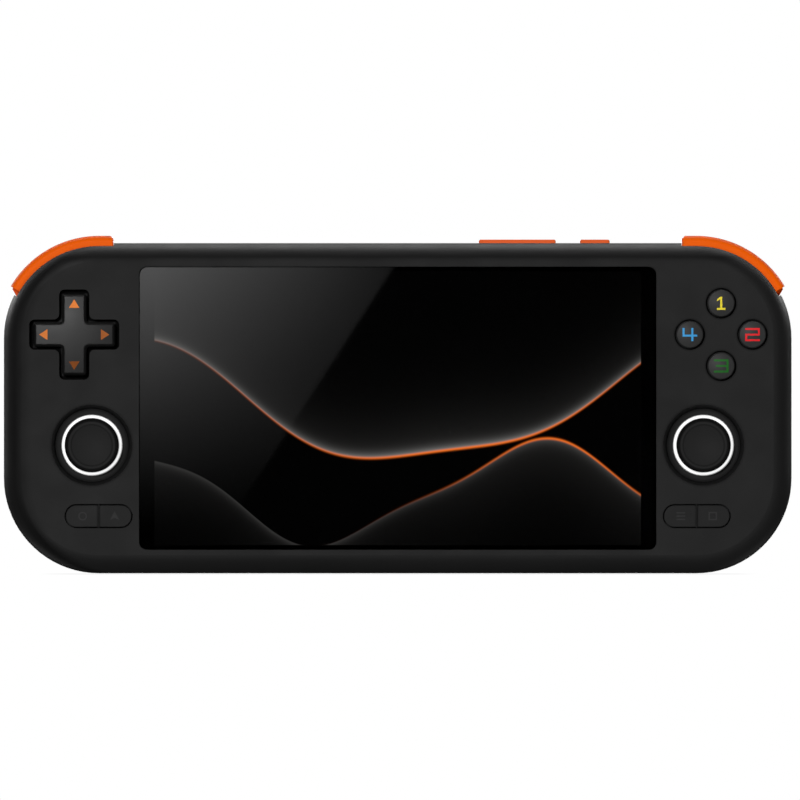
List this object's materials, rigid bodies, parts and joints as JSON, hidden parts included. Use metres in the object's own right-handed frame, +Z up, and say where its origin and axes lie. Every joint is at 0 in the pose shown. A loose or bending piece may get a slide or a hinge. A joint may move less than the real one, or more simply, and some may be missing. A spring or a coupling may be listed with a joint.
{
  "type": "handheld game console",
  "caption": "Wide handheld game console in a dark rounded housing, with a large screen between thumbsticks, a direction pad and face buttons, and orange shoulder buttons and triggers.",
  "frame": {"origin": "middle of the bounding box on the surface that the bottom edge stands on", "axes": "+X to the console's right as the player sees it, -Y out of the screen, +Z up to the shoulder buttons"},
  "size_m": [0.2152, 0.0304, 0.0922],
  "materials": {
    "shell_black": "fine matt",
    "pad_grey": "satin",
    "cap_rubber": "matt",
    "orange": "satin",
    "trigger_orange": "satin",
    "screen_glass": "gloss",
    "panel_black": "gloss",
    "light_white": "lit",
    "steel": "bright",
    "copper": "bright",
    "aluminium": "satin",
    "board_green": "satin",
    "mat_rubber": "matt",
    "battery_grey": "satin",
    "inner_black": "matt"
  },
  "bodies": {
    "housing": {"front_shell": "shell_black", "rear_shell": "shell_black", "screen_glass": "screen_glass", "display_panel": "panel_black", "mid_frame": "aluminium", "dpad_membrane": "mat_rubber", "face_button_membrane": "mat_rubber", "menu_membranes": "mat_rubber", "left_stick_frame": "steel", "left_light_ring": "light_white", "right_stick_frame": "steel", "right_light_ring": "light_white", "shoulder_pins": "steel", "trigger_pins": "steel", "trigger_springs": "steel", "shoulder_switches": "inner_black", "top_key_switches": "board_green", "main_board": "board_green", "io_board": "board_green", "left_control_board": "board_green", "right_control_board": "board_green", "battery": "battery_grey", "fan_housing": "inner_black", "heat_sink": "aluminium", "heat_pipe": "copper", "left_speaker": "inner_black", "right_speaker": "inner_black", "rumble_motors": "steel", "usb_port": "steel", "card_socket": "steel", "headphone_jack": "inner_black", "case_screws": "steel", "board_screws": "steel"},
    "left_ring": {"left_stick_ring": "inner_black"},
    "left_trunnion": {"left_stick_trunnion": "steel"},
    "left_stick": {"left_stick_lever": "steel", "left_stick_cap": "cap_rubber"},
    "left_yoke": {"left_stick_yoke": "inner_black"},
    "right_ring": {"right_stick_ring": "inner_black"},
    "right_trunnion": {"right_stick_trunnion": "steel"},
    "right_stick": {"right_stick_lever": "steel", "right_stick_cap": "cap_rubber"},
    "right_yoke": {"right_stick_yoke": "inner_black"},
    "dpad_ball": {"dpad_pivot_ball": "steel"},
    "dpad": {"dpad": "pad_grey"},
    "face_button_north": {"face_button_north": "pad_grey"},
    "face_button_east": {"face_button_east": "pad_grey"},
    "face_button_south": {"face_button_south": "pad_grey"},
    "face_button_west": {"face_button_west": "pad_grey"},
    "left_menu_button_outer": {"left_menu_button_outer": "shell_black"},
    "left_menu_button_inner": {"left_menu_button_inner": "shell_black"},
    "right_menu_button_inner": {"right_menu_button_inner": "shell_black"},
    "right_menu_button_outer": {"right_menu_button_outer": "shell_black"},
    "left_shoulder": {"left_shoulder_button": "orange"},
    "left_trigger": {"left_trigger": "trigger_orange"},
    "right_shoulder": {"right_shoulder_button": "orange"},
    "right_trigger": {"right_trigger": "trigger_orange"},
    "power_button": {"power_button": "orange"},
    "volume_rocker": {"volume_rocker": "orange"},
    "fan": {"fan_rotor": "inner_black"}
  },
  "joints": [
    {"name": "left_stick_up_down", "type": "hinge", "parent": "housing", "child": "left_ring", "pos_m": [-0.0835, -0.0046, 0.035], "axis": [1, 0, 0], "range_deg": [-15, 15], "stiffness_Nm_per_rad": 0.04},
    {"name": "left_stick_left_right", "type": "hinge", "parent": "left_ring", "child": "left_trunnion", "pos_m": [-0.0835, -0.0046, 0.035], "axis": [0, 0, 1], "range_deg": [-15, 15], "stiffness_Nm_per_rad": 0.04},
    {"name": "left_stick_click", "type": "slide", "parent": "left_trunnion", "child": "left_stick", "axis": [0, 1, 0], "range_m": [0, 0.00035], "stiffness_N_per_m": 6000},
    {"name": "left_stick_yoke_turn", "type": "hinge", "parent": "housing", "child": "left_yoke", "pos_m": [-0.0835, -0.0046, 0.035], "axis": [0, 0, 1], "range_deg": [-15, 15]},
    {"name": "right_stick_up_down", "type": "hinge", "parent": "housing", "child": "right_ring", "pos_m": [0.0835, -0.0046, 0.035], "axis": [1, 0, 0], "range_deg": [-15, 15], "stiffness_Nm_per_rad": 0.04},
    {"name": "right_stick_left_right", "type": "hinge", "parent": "right_ring", "child": "right_trunnion", "pos_m": [0.0835, -0.0046, 0.035], "axis": [0, 0, 1], "range_deg": [-15, 15], "stiffness_Nm_per_rad": 0.04},
    {"name": "right_stick_click", "type": "slide", "parent": "right_trunnion", "child": "right_stick", "axis": [0, 1, 0], "range_m": [0, 0.00035], "stiffness_N_per_m": 6000},
    {"name": "right_stick_yoke_turn", "type": "hinge", "parent": "housing", "child": "right_yoke", "pos_m": [0.0835, -0.0046, 0.035], "axis": [0, 0, 1], "range_deg": [-15, 15]},
    {"name": "dpad_up_down", "type": "hinge", "parent": "housing", "child": "dpad_ball", "pos_m": [-0.0883, -0.0058, 0.0652], "axis": [1, 0, 0], "range_deg": [-4, 4], "stiffness_Nm_per_rad": 0.2},
    {"name": "dpad_left_right", "type": "hinge", "parent": "dpad_ball", "child": "dpad", "pos_m": [-0.0883, -0.0058, 0.0652], "axis": [0, 0, 1], "range_deg": [-4, 4], "stiffness_Nm_per_rad": 0.2},
    {"name": "face_button_north_press", "type": "slide", "parent": "housing", "child": "face_button_north", "axis": [0, 1, 0], "range_m": [0, 0.001], "stiffness_N_per_m": 800},
    {"name": "face_button_east_press", "type": "slide", "parent": "housing", "child": "face_button_east", "axis": [0, 1, 0], "range_m": [0, 0.001], "stiffness_N_per_m": 800},
    {"name": "face_button_south_press", "type": "slide", "parent": "housing", "child": "face_button_south", "axis": [0, 1, 0], "range_m": [0, 0.001], "stiffness_N_per_m": 800},
    {"name": "face_button_west_press", "type": "slide", "parent": "housing", "child": "face_button_west", "axis": [0, 1, 0], "range_m": [0, 0.001], "stiffness_N_per_m": 800},
    {"name": "left_menu_button_outer_press", "type": "slide", "parent": "housing", "child": "left_menu_button_outer", "axis": [0, 1, 0], "range_m": [0, 0.0005], "stiffness_N_per_m": 1500},
    {"name": "left_menu_button_inner_press", "type": "slide", "parent": "housing", "child": "left_menu_button_inner", "axis": [0, 1, 0], "range_m": [0, 0.0005], "stiffness_N_per_m": 1500},
    {"name": "right_menu_button_inner_press", "type": "slide", "parent": "housing", "child": "right_menu_button_inner", "axis": [0, 1, 0], "range_m": [0, 0.0005], "stiffness_N_per_m": 1500},
    {"name": "right_menu_button_outer_press", "type": "slide", "parent": "housing", "child": "right_menu_button_outer", "axis": [0, 1, 0], "range_m": [0, 0.0005], "stiffness_N_per_m": 1500},
    {"name": "left_shoulder_press", "type": "hinge", "parent": "housing", "child": "left_shoulder", "pos_m": [-0.0773, -0.0068, 0.086], "axis": [0, -1, 0], "range_deg": [0, 2.2], "stiffness_Nm_per_rad": 0.5},
    {"name": "left_trigger_pull", "type": "hinge", "parent": "housing", "child": "left_trigger", "pos_m": [-0.0926, -0.0012, 0.08325], "axis": [-0.866, 0, -0.5], "range_deg": [0, 14], "stiffness_Nm_per_rad": 0.06},
    {"name": "right_shoulder_press", "type": "hinge", "parent": "housing", "child": "right_shoulder", "pos_m": [0.0773, -0.0068, 0.086], "axis": [0, 1, 0], "range_deg": [0, 2.2], "stiffness_Nm_per_rad": 0.5},
    {"name": "right_trigger_pull", "type": "hinge", "parent": "housing", "child": "right_trigger", "pos_m": [0.0926, -0.0012, 0.08325], "axis": [-0.866, 0, 0.5], "range_deg": [0, 14], "stiffness_Nm_per_rad": 0.06},
    {"name": "power_button_press", "type": "slide", "parent": "housing", "child": "power_button", "axis": [0, 0, -1], "range_m": [0, 0.0005], "stiffness_N_per_m": 1500},
    {"name": "volume_rocker_tilt", "type": "hinge", "parent": "housing", "child": "volume_rocker", "pos_m": [0.0327, -0.0008, 0.0866], "axis": [0, -1, 0], "range_deg": [-1.5, 1.5], "stiffness_Nm_per_rad": 0.2},
    {"name": "fan_spin", "type": "hinge", "parent": "housing", "child": "fan", "pos_m": [-0.027, 0.0002, 0.061], "axis": [0, -1, 0], "continuous": true}
  ],
  "couplings": [
    {"joint": "left_stick_yoke_turn", "follows": "left_stick_left_right", "ratio": 1},
    {"joint": "right_stick_yoke_turn", "follows": "right_stick_left_right", "ratio": 1}
  ]
}
